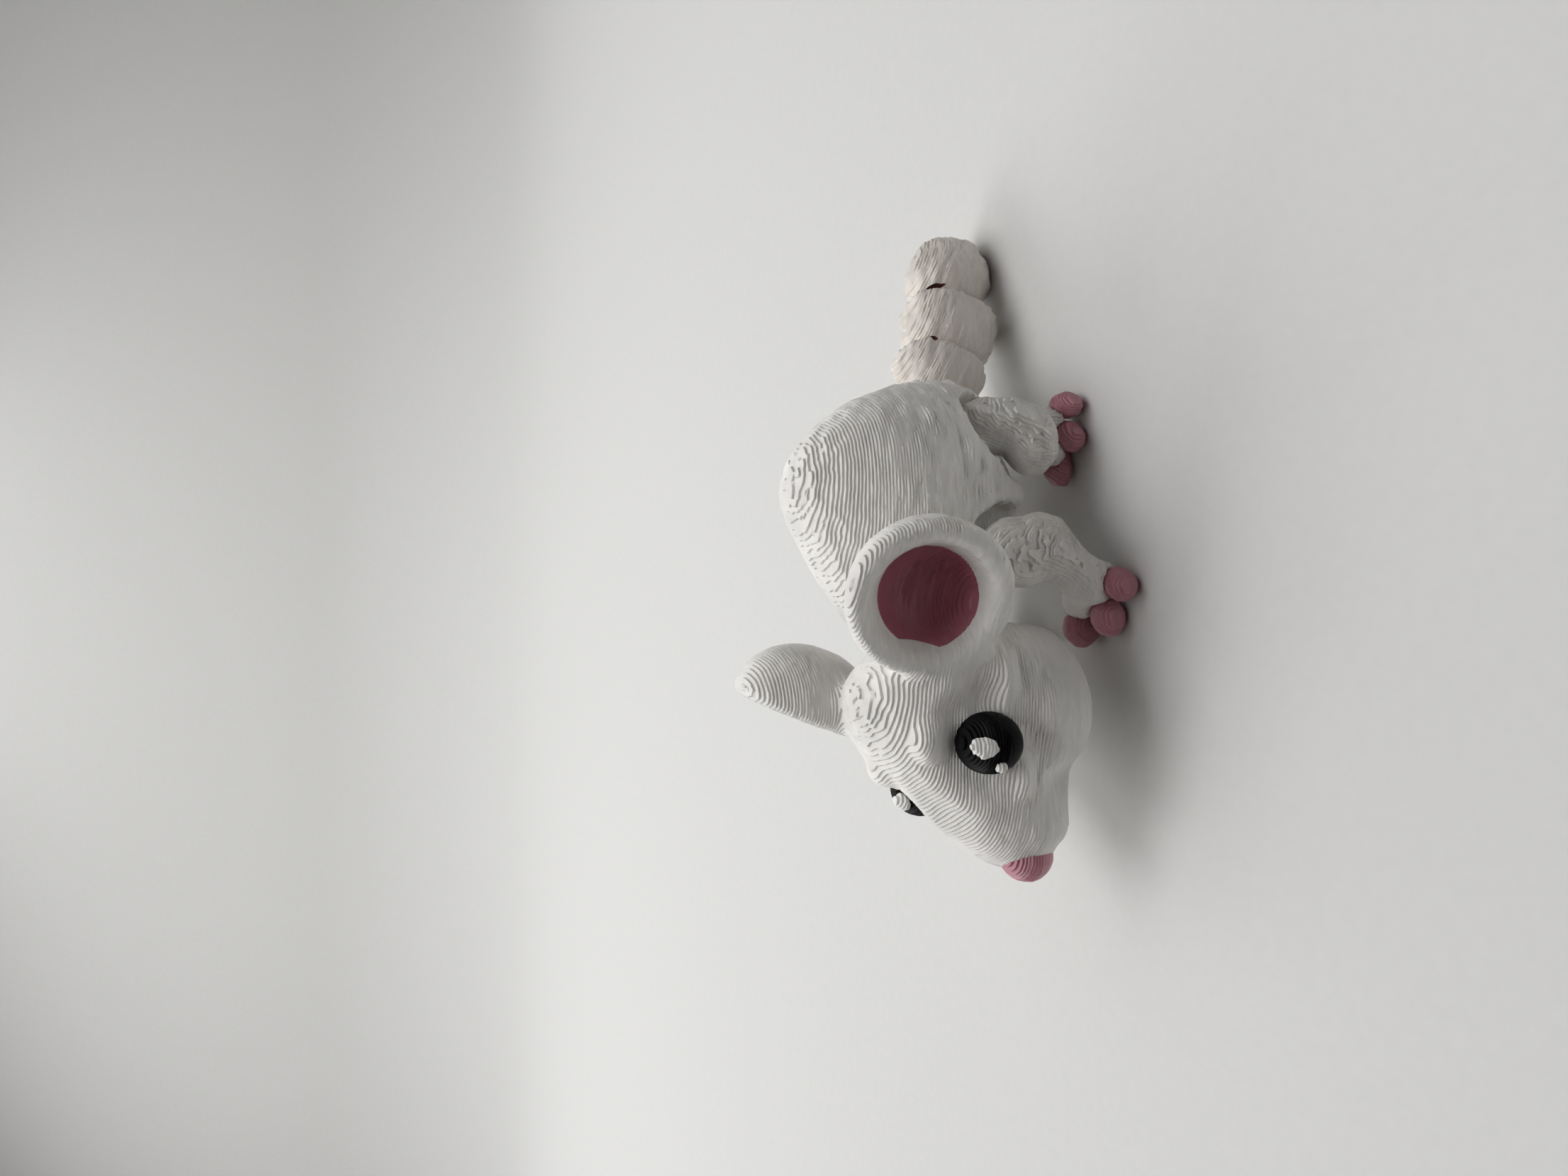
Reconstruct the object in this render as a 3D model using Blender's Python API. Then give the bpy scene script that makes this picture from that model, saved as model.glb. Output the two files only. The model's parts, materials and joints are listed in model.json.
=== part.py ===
"""A jointed toy mouse, printed in plastic as loose pieces that snap and link together.

The mouse faces -Y, its left side is +X, +Z is up and it stands on the floor at Z = 0.
Sizes are named in millimetres and turned into metres by MM where a mesh is made.
"""

import math

import bmesh
import bpy
from mathutils import Matrix, Vector

MM = 0.001

# Moves the whole toy so that the origin is under its middle
CENTRING = Vector((-0.30, 0.88, 0.0))

# Clearances
INLAY_GAP = 0.08          # between a coloured inlay and the plastic it sits in
JOINT_GAP = 0.25          # between a ball and its socket

# Trunk
BELLY = 4.0               # height of the flat underside
FLANK_BAY_DEPTH = 3.3     # distance from the middle plane to the floor of a leg bay

# Neck: a ball on a stalk of the trunk, in a socket at the back of the head
NECK = Vector((0.0, -10.4, 9.0))
NECK_BALL = 1.5
NECK_STALK = 0.8
HEAD_TURN = 5.0           # degrees that the head looks to its left
HEAD_LEAN = 6.0           # degrees that it leans to its left

# Face
NOSE = Vector((0.0, -21.8, 6.7))
NOSE_RADIUS = 1.5
EYES = {1: Vector((3.95, -16.5, 10.45)), -1: Vector((-3.69, -16.46, 10.12))}   # left, right
EYE_RADII = (1.7, 1.75, 1.85)
EYE_YAW = 62.0            # degrees from straight ahead to the side
EYE_PITCH = 12.0          # degrees that the eye looks up
# each glint: how far across and up from the middle of the eye, its half width and half height
GLINTS = {1: ((-0.1, 0.95, 0.6, 0.75), (-1.1, -0.2, 0.28, 0.32)),
          -1: ((-0.8, 1.45, 0.6, 0.6), (0.2, -0.4, 0.28, 0.32))}
EAR = Vector((7.55, -9.75, 14.75))
EAR_FACING = Vector((0.56, -0.78, 0.27)).normalized()
EAR_RADIUS = 4.65         # outer radius of the rolled rim
EAR_RIM = 0.70            # radius of the roll
EAR_DEPTH = 3.8           # from the rim's plane to the back of the bowl
EAR_WALL = 1.2

# Legs: where each one turns, and the angle by which its pin points forward of sideways
SHOULDER = Vector((5.2, -5.2, 6.3))
HIP = Vector((5.1, 2.9, 5.3))
FRONT_SPLAY = 16.0
HIND_SPLAY = -14.0
BAY_RADIUS = 3.15
PIN_BALL = 1.05
PIN_NECK = 0.6
PIN_REACH = 2.9           # from the leg's turning point to the ball's centre, inward

# Tail: where the first link turns, then for each link its tilt, length from pin to rim,
# half width, height above and depth below its axis, and the radius of its round head
TAIL_ROOT = Vector((0.0, 7.1, 6.25))
TAIL_TILT = (22.0, 15.0, 8.0)
TAIL_LENGTH = (3.75, 5.4, 7.5)
TAIL_HALF = (2.9, 2.85, 2.65)
TAIL_TOP = (3.2, 2.85, 2.4)
TAIL_BOTTOM = (2.9, 3.8, 3.75)
TAIL_NECK = (2.2, 2.05, 2.05)
TAIL_LIP = 0.9            # distance from a link's rim back to the pin of the next one
TAIL_PIN = 0.5

WHITE = (0.80, 0.79, 0.76)
TAIL_WHITE = (0.78, 0.73, 0.70)
PINK = (0.48, 0.14, 0.18)
DEEP_PINK = (0.33, 0.09, 0.13)
BLACK = (0.006, 0.006, 0.008)


def clear_scene():
    for obj in list(bpy.data.objects):
        bpy.data.objects.remove(obj)


def plastic(name, colour, roughness):
    """A plain printed plastic of one colour."""
    material = bpy.data.materials.new(name)
    material.use_nodes = True
    shader = material.node_tree.nodes["Principled BSDF"]
    shader.inputs["Base Color"].default_value = (*colour, 1.0)
    shader.inputs["Roughness"].default_value = roughness
    shader.inputs["Metallic"].default_value = 0.0
    return material


# ---------------------------------------------------------------- shapes in a bmesh

def add_ball(bm, centre, radii, turn=None, segments=32, rings=20):
    """An ellipsoid; turn is a rotation matrix for its own axes."""
    frame = Matrix.Translation(Vector(centre))
    if turn is not None:
        frame = frame @ turn.to_4x4()
    frame = frame @ Matrix.Diagonal((*radii, 1.0))
    bmesh.ops.create_uvsphere(bm, u_segments=segments, v_segments=rings, radius=1.0, matrix=frame)


def add_rings(bm, rings):
    """Closes a row of rings of equal length into one body, with a fan at each end."""
    rows = [[bm.verts.new(point) for point in ring] for ring in rings]
    sides = len(rows[0])
    for row, following in zip(rows, rows[1:]):
        for i in range(sides):
            j = (i + 1) % sides
            bm.faces.new((row[i], row[j], following[j], following[i]))
    for row, flip in ((rows[0], True), (rows[-1], False)):
        middle = bm.verts.new(sum((v.co for v in row), Vector()) / sides)
        for i in range(sides):
            j = (i + 1) % sides
            corner = (row[j], row[i], middle) if flip else (row[i], row[j], middle)
            bm.faces.new(corner)
    bmesh.ops.recalc_face_normals(bm, faces=bm.faces[:])


def smooth_between(stations, steps):
    """Points on a Catmull-Rom curve through the stations, steps to each stretch."""
    padded = [stations[0], *stations, stations[-1]]
    result = []
    for a, b, c, d in zip(padded, padded[1:], padded[2:], padded[3:]):
        for i in range(steps):
            t = i / steps
            result.append([
                0.5 * (2 * q + (r - p) * t + (2 * p - 5 * q + 4 * r - s) * t * t
                       + (3 * q - p - 3 * r + s) * t ** 3)
                for p, q, r, s in zip(a, b, c, d)
            ])
    result.append(list(stations[-1]))
    return result


def rounded_power(value, power):
    return math.copysign(abs(value) ** power, value)


def add_hull(bm, stations, steps=4, sides=40, squareness=2.0):
    """A form along Y. A station is (y, top, widest level, bottom, half width)."""
    power = 2.0 / squareness
    rings = []
    for y, top, waist, bottom, half_width in smooth_between(stations, steps):
        ring = []
        for i in range(sides):
            angle = 2 * math.pi * i / sides
            across = half_width * rounded_power(math.sin(angle), power)
            up = rounded_power(math.cos(angle), power)
            height = (top - waist) * up if up > 0 else (waist - bottom) * up
            ring.append(Vector((across, y, waist + height)))
        rings.append(ring)
    add_rings(bm, rings)


def add_limb(bm, stations, steps=4, sides=24):
    """A round form along a path. A station is (x, y, z, radius)."""
    path = smooth_between(stations, steps)
    rings = []
    for index, (x, y, z, radius) in enumerate(path):
        before = Vector(path[max(index - 1, 0)][:3])
        after = Vector(path[min(index + 1, len(path) - 1)][:3])
        turn = (after - before).to_track_quat("Z", "Y")
        ring = []
        for i in range(sides):
            angle = 2 * math.pi * i / sides
            spoke = Vector((radius * math.cos(angle), radius * math.sin(angle), 0.0))
            ring.append(Vector((x, y, z)) + turn @ spoke)
        rings.append(ring)
    add_rings(bm, rings)


def add_turned(bm, base, axis, profile, sides=24):
    """A turned form about axis. A profile point is (distance along the axis, radius)."""
    turn = Vector(axis).to_track_quat("Z", "Y")
    rings = []
    for along, radius in profile:
        ring = []
        for i in range(sides):
            angle = 2 * math.pi * i / sides
            spoke = Vector((radius * math.cos(angle), radius * math.sin(angle), along))
            ring.append(Vector(base) + turn @ spoke)
        rings.append(ring)
    add_rings(bm, rings)


def ball_profile(centre, radius, start, end, steps=8):
    """Profile points of a ball between two angles from its far pole, in degrees."""
    points = []
    for i in range(steps + 1):
        angle = math.radians(start + (end - start) * i / steps)
        points.append((centre - radius * math.cos(angle), radius * math.sin(angle)))
    return points


def neck_angle(neck, ball):
    """The angle from a ball's far pole at which it is as narrow as its neck."""
    return 180.0 - math.degrees(math.asin(neck / ball))


# ---------------------------------------------------------------- objects

def new_object(name, bm, pivot=(0.0, 0.0, 0.0), material=None, parent=None):
    """Makes the mesh an object whose origin is the pivot, both in the model's millimetres."""
    bmesh.ops.translate(bm, verts=bm.verts[:], vec=-Vector(pivot))
    bmesh.ops.scale(bm, verts=bm.verts[:], vec=(MM, MM, MM))
    mesh = bpy.data.meshes.new(name)
    bm.to_mesh(mesh)
    bm.free()
    mesh.shade_smooth()
    obj = bpy.data.objects.new(name, mesh)
    bpy.context.scene.collection.objects.link(obj)
    if material is not None:
        mesh.materials.append(material)
    if parent is None:
        obj.location = Vector(pivot) * MM
    else:
        obj.parent = parent
    return obj


def soften(obj, voxel, passes, keep):
    """Melts the overlapping shapes of a mesh into one skin, smooths and thins it."""
    melt = obj.modifiers.new("Melt", "REMESH")
    melt.mode = "VOXEL"
    melt.voxel_size = voxel * MM
    relax = obj.modifiers.new("Relax", "SMOOTH")
    relax.factor = 0.5
    relax.iterations = passes
    thin = obj.modifiers.new("Thin", "DECIMATE")
    thin.ratio = keep
    thin.use_collapse_triangulate = True


def combine(obj, tool, operation):
    """Cuts the tool out of the object, or adds it, and hides the tool."""
    boolean = obj.modifiers.new(operation.title(), "BOOLEAN")
    boolean.operation = operation
    boolean.solver = "EXACT"
    boolean.object = tool
    tool.hide_render = True
    tool.display_type = "WIRE"


def tool_object(name, bm, pivot=(0.0, 0.0, 0.0), parent=None):
    return new_object(name + "_tool", bm, pivot, parent=parent)


# ---------------------------------------------------------------- trunk

def leg_axis(splay, side):
    """The outward direction of a leg's pin."""
    angle = math.radians(splay)
    return Vector((side * math.cos(angle), -math.sin(angle), 0.0))


def leg_pivot(point, side):
    return Vector((side * point.x, point.y, point.z))


def add_bay(bm, point, splay, side):
    """The round room over a leg's hub, open to the side and downward."""
    axis = leg_axis(splay, side)
    pivot = leg_pivot(point, side)
    start = FLANK_BAY_DEPTH - abs(pivot.x)
    rings = []
    for along in (start, 8.0):
        ring = []
        steps = 14
        for i in range(steps + 1):
            angle = math.pi * i / steps
            ring.append((BAY_RADIUS * math.cos(angle), BAY_RADIUS * math.sin(angle)))
        ring += [(-BAY_RADIUS, -8.0), (BAY_RADIUS, -8.0)]
        forward = Vector((-axis.y, axis.x, 0.0))
        rings.append([pivot + axis * along + forward * a + Vector((0, 0, b)) for a, b in ring])
    add_rings(bm, rings)


def add_socket(bm, pivot, axis, reach, ball, neck):
    """The hollow for a ball on a neck, open along axis."""
    profile = ball_profile(0.0, ball, 20.0, neck_angle(neck, ball), 3)
    profile += [(reach, neck)]
    add_turned(bm, pivot, axis, profile, sides=10)


def make_trunk(white):
    bm = bmesh.new()
    add_hull(bm, (
        (-8.3, 11.4, 9.5, 8.0, 1.2),
        (-7.8, 13.1, 9.5, 6.2, 3.0),
        (-6.8, 14.3, 9.3, 4.6, 4.4),
        (-4.5, 15.3, 9.0, 3.6, 5.8),
        (-2.0, 16.3, 9.0, 3.4, 6.7),
        (0.5, 17.1, 9.0, 3.4, 7.2),
        (2.2, 17.3, 9.0, 3.4, 7.2),
        (3.8, 16.7, 8.9, 3.4, 6.7),
        (5.8, 14.7, 8.4, 3.6, 5.5),
        (7.1, 12.0, 7.8, 3.8, 3.9),
        (7.7, 9.6, 7.2, 4.4, 2.7),
        (7.9, 8.2, 7.0, 5.6, 1.8),
    ), squareness=2.15)
    trunk = new_object("trunk", bm, material=white)
    soften(trunk, 0.4, 4, 0.05)

    flat = bmesh.new()
    bmesh.ops.create_cube(flat, size=1.0, matrix=Matrix.Translation((0, 0, BELLY - 5.0))
                          @ Matrix.Diagonal((30.0, 40.0, 10.0, 1.0)))
    combine(trunk, tool_object("belly", flat), "DIFFERENCE")

    bays = bmesh.new()
    for point, splay in ((SHOULDER, FRONT_SPLAY), (HIP, HIND_SPLAY)):
        for side in (1, -1):
            add_bay(bays, point, splay, side)
    combine(trunk, tool_object("bays", bays), "DIFFERENCE")

    sockets = bmesh.new()
    for point, splay in ((SHOULDER, FRONT_SPLAY), (HIP, HIND_SPLAY)):
        for side in (1, -1):
            axis = leg_axis(splay, side)
            centre = leg_pivot(point, side) - axis * PIN_REACH
            add_socket(sockets, centre, axis, 2.4, PIN_BALL + JOINT_GAP, PIN_NECK + JOINT_GAP)
    combine(trunk, tool_object("sockets", sockets), "DIFFERENCE")

    add_cup(trunk, 0)

    stalk = bmesh.new()
    profile = ball_profile(0.0, NECK_BALL, 15.0, neck_angle(NECK_STALK, NECK_BALL), 4)
    profile += [(4.6, NECK_STALK)]
    add_turned(stalk, NECK, (0, 1, 0), profile, sides=12)
    combine(trunk, tool_object("neck_stalk", stalk), "UNION")
    return trunk


# ---------------------------------------------------------------- tail

def tail_pivot(link):
    """Where a link turns; each one hangs on the lip of the link before it."""
    pivot = TAIL_ROOT.copy()
    for before in range(link):
        tilt = math.radians(TAIL_TILT[before])
        reach = TAIL_LENGTH[before] - TAIL_LIP
        pivot += Vector((0.0, reach * math.cos(tilt), -reach * math.sin(tilt)))
    return pivot


def add_cup(obj, link):
    """Hollows a cup for the round head of a link and sets the upright pin across it."""
    pivot = tail_pivot(link)
    radius = TAIL_NECK[link] + JOINT_GAP
    tilt = math.radians(TAIL_TILT[link])
    profile = ball_profile(0.0, radius, 18.0, 90.0, 3) + [(1.6, radius + 0.25)]
    cup = bmesh.new()
    add_turned(cup, pivot, (0.0, math.cos(tilt), -math.sin(tilt)), profile, sides=14)
    combine(obj, tool_object(f"cup_{link + 1}", cup), "DIFFERENCE")
    pin = bmesh.new()
    add_turned(pin, pivot - Vector((0, 0, radius + 0.2)), (0, 0, 1),
               ((0.0, TAIL_PIN), (2 * radius + 0.4, TAIL_PIN)), sides=8)
    combine(obj, tool_object(f"pin_{link + 1}", pin), "UNION")


def cut_at_floor(bm):
    """Takes off what is below the floor and closes the cut with a flat."""
    cut = bmesh.ops.bisect_plane(bm, geom=bm.verts[:] + bm.edges[:] + bm.faces[:],
                                 plane_co=(0, 0, 0), plane_no=(0, 0, -1), clear_outer=True)
    edges = [item for item in cut["geom_cut"] if isinstance(item, bmesh.types.BMEdge)]
    if edges:
        bmesh.ops.contextual_create(bm, geom=edges)


def make_tail_link(link, material):
    """A loaf-shaped link with a round head in front and a cup behind."""
    half = TAIL_HALF[link]
    top = TAIL_TOP[link]
    bottom = TAIL_BOTTOM[link]
    neck = TAIL_NECK[link]
    length = TAIL_LENGTH[link]
    last = link == len(TAIL_LENGTH) - 1
    stations = []
    for degrees in (12, 38, 64, 90):
        angle = math.radians(degrees)
        radius = neck * math.sin(angle)
        stations.append((-neck * math.cos(angle), radius, 0.0, -radius, radius))
    stations += [
        (1.15, neck - 0.05, 0.0, -neck + 0.05, neck - 0.05),
        (1.7, 0.6 * neck + 0.4 * top, 0.0, -0.6 * neck - 0.4 * bottom, 0.6 * neck + 0.4 * half),
    ]
    if last:
        stations += [
            (3.4, top, -0.2, -bottom, half),
            (5.0, top - 0.25, -0.4, -bottom, half - 0.25),
            (6.4, top - 1.0, -0.8, -bottom + 0.5, half - 0.9),
            (length - 0.25, top - 2.1, -1.1, -bottom + 1.4, half - 1.8),
            (length, 0.0, -1.2, -bottom + 2.2, 0.5),
        ]
    else:
        stations += [
            (2.6, top - 0.15, 0.0, -bottom + 0.15, half - 0.1),
            (length, top, 0.0, -bottom, half),
        ]
    bm = bmesh.new()
    add_hull(bm, stations, steps=1, sides=14, squareness=2.25)
    tilt = Matrix.Rotation(math.radians(-TAIL_TILT[link]), 3, "X")
    bmesh.ops.rotate(bm, verts=bm.verts[:], cent=(0, 0, 0), matrix=tilt)
    pivot = tail_pivot(link)
    bmesh.ops.translate(bm, verts=bm.verts[:], vec=pivot)
    cut_at_floor(bm)
    obj = new_object(f"tail_{link + 1}", bm, pivot, material)

    hole = bmesh.new()
    add_turned(hole, pivot - Vector((0, 0, 5)), (0, 0, 1),
               ((0.0, TAIL_PIN + JOINT_GAP), (10.0, TAIL_PIN + JOINT_GAP)), sides=8)
    combine(obj, tool_object(f"hole_{link + 1}", hole), "DIFFERENCE")
    if not last:
        add_cup(obj, link + 1)


# ---------------------------------------------------------------- head

def face_turn(side, yaw, pitch):
    """Axes of a face feature: its own -Y looks out of the head."""
    return (Matrix.Rotation(side * math.radians(yaw), 3, "Z")
            @ Matrix.Rotation(math.radians(-pitch), 3, "X"))


def mirrored(point, side):
    return Vector((side * point.x, point.y, point.z))


def add_head_form(bm):
    add_hull(bm, (
        (-22.1, 8.4, 7.0, 5.4, 1.2),
        (-21.6, 9.3, 6.9, 4.9, 2.1),
        (-20.6, 10.4, 6.8, 4.4, 2.9),
        (-19.0, 11.9, 6.8, 4.1, 3.8),
        (-17.0, 13.6, 7.2, 3.8, 4.9),
        (-15.0, 14.8, 7.6, 3.3, 5.9),
        (-12.8, 15.6, 8.0, 2.9, 6.4),
        (-10.8, 15.4, 8.4, 3.2, 6.1),
        (-9.6, 14.3, 8.6, 4.0, 5.0),
        (-9.0, 12.8, 8.7, 5.0, 3.8),
        (-8.6, 10.8, 8.8, 7.0, 2.0),
    ), squareness=2.15)
    for side in (1, -1):
        add_ball(bm, (side * 4.1, -13.7, 6.05), (2.6, 4.3, 2.8))
        add_ball(bm, (side * 1.6, -20.2, 6.7), (1.7, 1.9, 2.0))


def make_head(white):
    bm = bmesh.new()
    add_head_form(bm)
    head = new_object("head", bm, NECK, white)
    head.rotation_euler = (0.0, math.radians(HEAD_LEAN), math.radians(HEAD_TURN))
    soften(head, 0.4, 5, 0.083)

    socket = bmesh.new()
    ball = NECK_BALL + JOINT_GAP
    profile = ball_profile(0.0, ball, 20.0, 125.0, 4)
    profile += [(3.0, 2.4)]
    add_turned(socket, NECK, (0, 1, 0), profile, sides=12)
    combine(head, tool_object("neck_socket", socket), "DIFFERENCE")
    return head


def make_nose(head, pink):
    bm = bmesh.new()
    add_ball(bm, NOSE, (NOSE_RADIUS,) * 3, segments=14, rings=8)
    nose = new_object("nose", bm, NECK, pink, head)
    seat = bmesh.new()
    add_ball(seat, NOSE, (NOSE_RADIUS + INLAY_GAP,) * 3, segments=14, rings=8)
    combine(head, tool_object("nose_seat", seat, NECK, head), "DIFFERENCE")
    return nose


def make_eye(head, side, black, white):
    """The eye's dome and its two raised glints."""
    name = "left" if side > 0 else "right"
    centre = EYES[side]
    turn = face_turn(side, EYE_YAW, EYE_PITCH)
    seat = bmesh.new()
    add_ball(seat, centre, [r + INLAY_GAP for r in EYE_RADII], turn, 14, 8)
    combine(head, tool_object(f"eye_seat_{name}", seat, NECK, head), "DIFFERENCE")

    bm = bmesh.new()
    add_ball(bm, centre, EYE_RADII, turn, 14, 8)
    eye = new_object(f"eye_{name}", bm, NECK, black, head)
    for index, (across, up, width, height) in enumerate(GLINTS[side]):
        depth = EYE_RADII[1] * math.sqrt(1 - (across / EYE_RADII[0]) ** 2 - (up / EYE_RADII[2]) ** 2)
        place = Vector((side * across, -depth, up))
        spot = centre + turn @ place
        outward = turn @ Vector([place[i] / EYE_RADII[i] ** 2 for i in range(3)])
        lie = outward.to_track_quat("-Y", "Z").to_matrix()
        glint = bmesh.new()
        add_ball(glint, spot, (width, 0.3, height), lie, 7, 4)
        new_object(f"glint_{name}_{index + 1}", glint, NECK, white, head)
        for holder in (eye, head):
            seat = bmesh.new()
            add_ball(seat, spot, (width + 0.05, 0.35, height + 0.05), lie, 7, 4)
            tool = tool_object(f"glint_seat_{holder.name}_{name}_{index + 1}", seat, NECK, head)
            combine(holder, tool, "DIFFERENCE")
    return eye


def ear_frame(side):
    """Origin at the middle of the rim, with +Z out of the bowl and +Y up."""
    facing = mirrored(EAR_FACING, side)
    across = Vector((0, 0, 1)).cross(facing).normalized()
    up = facing.cross(across)
    turn = Matrix((across, up, facing)).transposed()
    return Matrix.Translation(mirrored(EAR, side)) @ turn.to_4x4()


def ear_profile():
    """Half section of the bowl from the back's pole round the rim to the dish's pole."""
    outer = EAR_RADIUS
    points = []
    for degrees in (12, 28, 46, 66, 90):
        angle = math.radians(degrees)
        points.append((-EAR_DEPTH * math.cos(angle), outer * math.sin(angle)))
    for degrees in (45, 90, 135, 180):
        angle = math.radians(degrees)
        points.append((EAR_RIM * math.sin(angle), outer - EAR_RIM + EAR_RIM * math.cos(angle)))
    inner = outer - 2 * EAR_RIM
    depth = EAR_DEPTH - EAR_WALL
    for degrees in (64, 38, 14):
        angle = math.radians(degrees)
        points.append((-depth * math.cos(angle), inner * math.sin(angle)))
    return points


def make_ear(head, side, white, pink):
    name = "left" if side > 0 else "right"
    frame = ear_frame(side)
    bm = bmesh.new()
    add_turned(bm, (0, 0, 0), (0, 0, 1), ear_profile(), sides=21)
    bmesh.ops.transform(bm, matrix=frame, verts=bm.verts[:])
    new_object(f"ear_{name}", bm, NECK, white, head)
    # the head is cut back round the ear, so the two meet without overlap
    seat = bmesh.new()
    grown = [(along - INLAY_GAP, radius + INLAY_GAP) for along, radius in ear_profile()[:7]]
    add_turned(seat, (0, 0, 0), (0, 0, 1), grown + [(3.0, EAR_RADIUS - EAR_RIM)], sides=21)
    bmesh.ops.transform(seat, matrix=frame, verts=seat.verts[:])
    combine(head, tool_object(f"ear_seat_{name}", seat, NECK, head), "DIFFERENCE")

    lining = bmesh.new()
    inner = EAR_RADIUS - 2 * EAR_RIM - INLAY_GAP
    depth = EAR_DEPTH - EAR_WALL - INLAY_GAP
    back = []
    front = []
    for degrees in (18, 50, 82):
        angle = math.radians(degrees)
        back.append((-depth * math.cos(angle), inner * math.sin(angle)))
        front.append((-(depth - 0.6) * math.cos(angle), (inner - 0.3) * math.sin(angle)))
    add_turned(lining, (0, 0, 0), (0, 0, 1), back + front[::-1], sides=14)
    bmesh.ops.transform(lining, matrix=frame, verts=lining.verts[:])
    new_object(f"ear_lining_{name}", lining, NECK, pink, head)


# ---------------------------------------------------------------- legs

FRONT_TOES = (
    # x, y, z of the middle, then radii across, along and up, then the way it points
    (7.3, -7.9, 0.98, 0.95, 1.2, 1.02, -30.0),
    (5.6, -9.3, 0.98, 1.0, 1.25, 1.02, 0.0),
    (3.1, -9.0, 1.08, 1.12, 1.3, 1.12, 20.0),
)
HIND_TOES = (
    (6.6, 4.3, 0.95, 0.85, 1.25, 0.95, -60.0),
    (6.1, 2.4, 0.95, 0.92, 1.3, 1.0, -35.0),
    (4.3, 1.0, 0.95, 0.95, 1.3, 1.0, -10.0),
)


def add_toe(bm, side, toe, growth=0.0):
    x, y, z, across, along, up, yaw = toe
    turn = Matrix.Rotation(math.radians(-side * yaw), 3, "Z")
    add_ball(bm, (side * x, y, z), (across + growth, along + growth, up + growth), turn, 8, 5)


def add_front_leg(bm, side):
    add_ball(bm, (side * 6.0, -5.4, 6.5), (1.4, 2.2, 2.35))
    add_ball(bm, (side * 6.5, -5.1, 5.0), (1.35, 2.0, 1.9))
    add_limb(bm, (
        (side * 6.6, -5.2, 5.0, 1.7),
        (side * 6.3, -6.4, 3.3, 1.35),
        (side * 5.9, -7.6, 1.9, 1.45),
        (side * 5.6, -8.2, 1.5, 1.1),
    ))
    add_ball(bm, (side * 4.6, -7.7, 1.7), (1.5, 1.3, 1.0))
    add_ball(bm, (side * 6.4, -7.2, 1.6), (1.2, 1.2, 1.0))


def add_hind_leg(bm, side):
    add_ball(bm, (side * 5.5, 3.2, 6.0), (1.35, 1.9, 2.15))
    add_ball(bm, (side * 6.05, 3.0, 5.0), (1.35, 1.8, 2.0))
    add_ball(bm, (side * 6.15, 2.0, 4.15), (1.4, 2.5, 1.65))
    add_limb(bm, (
        (side * 5.9, 2.9, 4.0, 1.4),
        (side * 5.5, 2.9, 2.6, 1.0),
        (side * 5.5, 2.8, 1.7, 1.0),
    ))
    add_ball(bm, (side * 5.2, 2.3, 1.7), (1.3, 1.6, 0.9))
    add_ball(bm, (side * 5.9, 3.7, 1.7), (1.0, 1.0, 0.9))


def make_leg(place, side, white, pink):
    front = place == "front"
    hand = "left" if side > 0 else "right"
    point = SHOULDER if front else HIP
    splay = FRONT_SPLAY if front else HIND_SPLAY
    toes = FRONT_TOES if front else HIND_TOES
    pivot = leg_pivot(point, side)
    bm = bmesh.new()
    if front:
        add_front_leg(bm, side)
    else:
        add_hind_leg(bm, side)
    leg = new_object(f"leg_{place}_{hand}", bm, pivot, white)
    soften(leg, 0.25, 3, 0.038)

    for index, toe in enumerate(toes):
        bm = bmesh.new()
        add_toe(bm, side, toe, INLAY_GAP)
        combine(leg, tool_object(f"toe_seat_{place}_{hand}_{index + 1}", bm, pivot, leg), "DIFFERENCE")

    axis = leg_axis(splay, side)
    pin = bmesh.new()
    profile = ball_profile(0.0, PIN_BALL, 15.0, neck_angle(PIN_NECK, PIN_BALL), 3)
    profile += [(PIN_REACH + 0.9, PIN_NECK)]
    add_turned(pin, pivot - axis * PIN_REACH, axis, profile, sides=9)
    combine(leg, tool_object(f"pin_{place}_{hand}", pin, pivot, leg), "UNION")

    for index, toe in enumerate(toes):
        bm = bmesh.new()
        add_toe(bm, side, toe)
        cut_at_floor(bm)
        new_object(f"toe_{place}_{hand}_{index + 1}", bm, pivot, pink, leg)


def main():
    clear_scene()
    white = plastic("white_plastic", WHITE, 0.45)
    tail_white = plastic("tail_plastic", TAIL_WHITE, 0.45)
    pink = plastic("pink_plastic", PINK, 0.4)
    deep_pink = plastic("lining_plastic", DEEP_PINK, 0.45)
    black = plastic("black_plastic", BLACK, 0.25)
    make_trunk(white)
    head = make_head(white)
    make_nose(head, pink)
    for side in (1, -1):
        make_eye(head, side, black, white)
        make_ear(head, side, white, deep_pink)
        for place in ("front", "hind"):
            make_leg(place, side, white, pink)
    for link in range(len(TAIL_LENGTH)):
        make_tail_link(link, tail_white)
    for obj in bpy.data.objects:
        if obj.parent is None:
            obj.location += CENTRING * MM


main()
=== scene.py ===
"""Dresses a jointed toy mouse as the layered plastic print that it is.

Each group of solids is melted into one smooth skin, the skin is carved, sliced at the height of
the print's layers and drawn out into strands, and the coloured parts are cut from it, so that
the strands run on from one colour to the next as they do in one print of several colours.
"""

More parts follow.
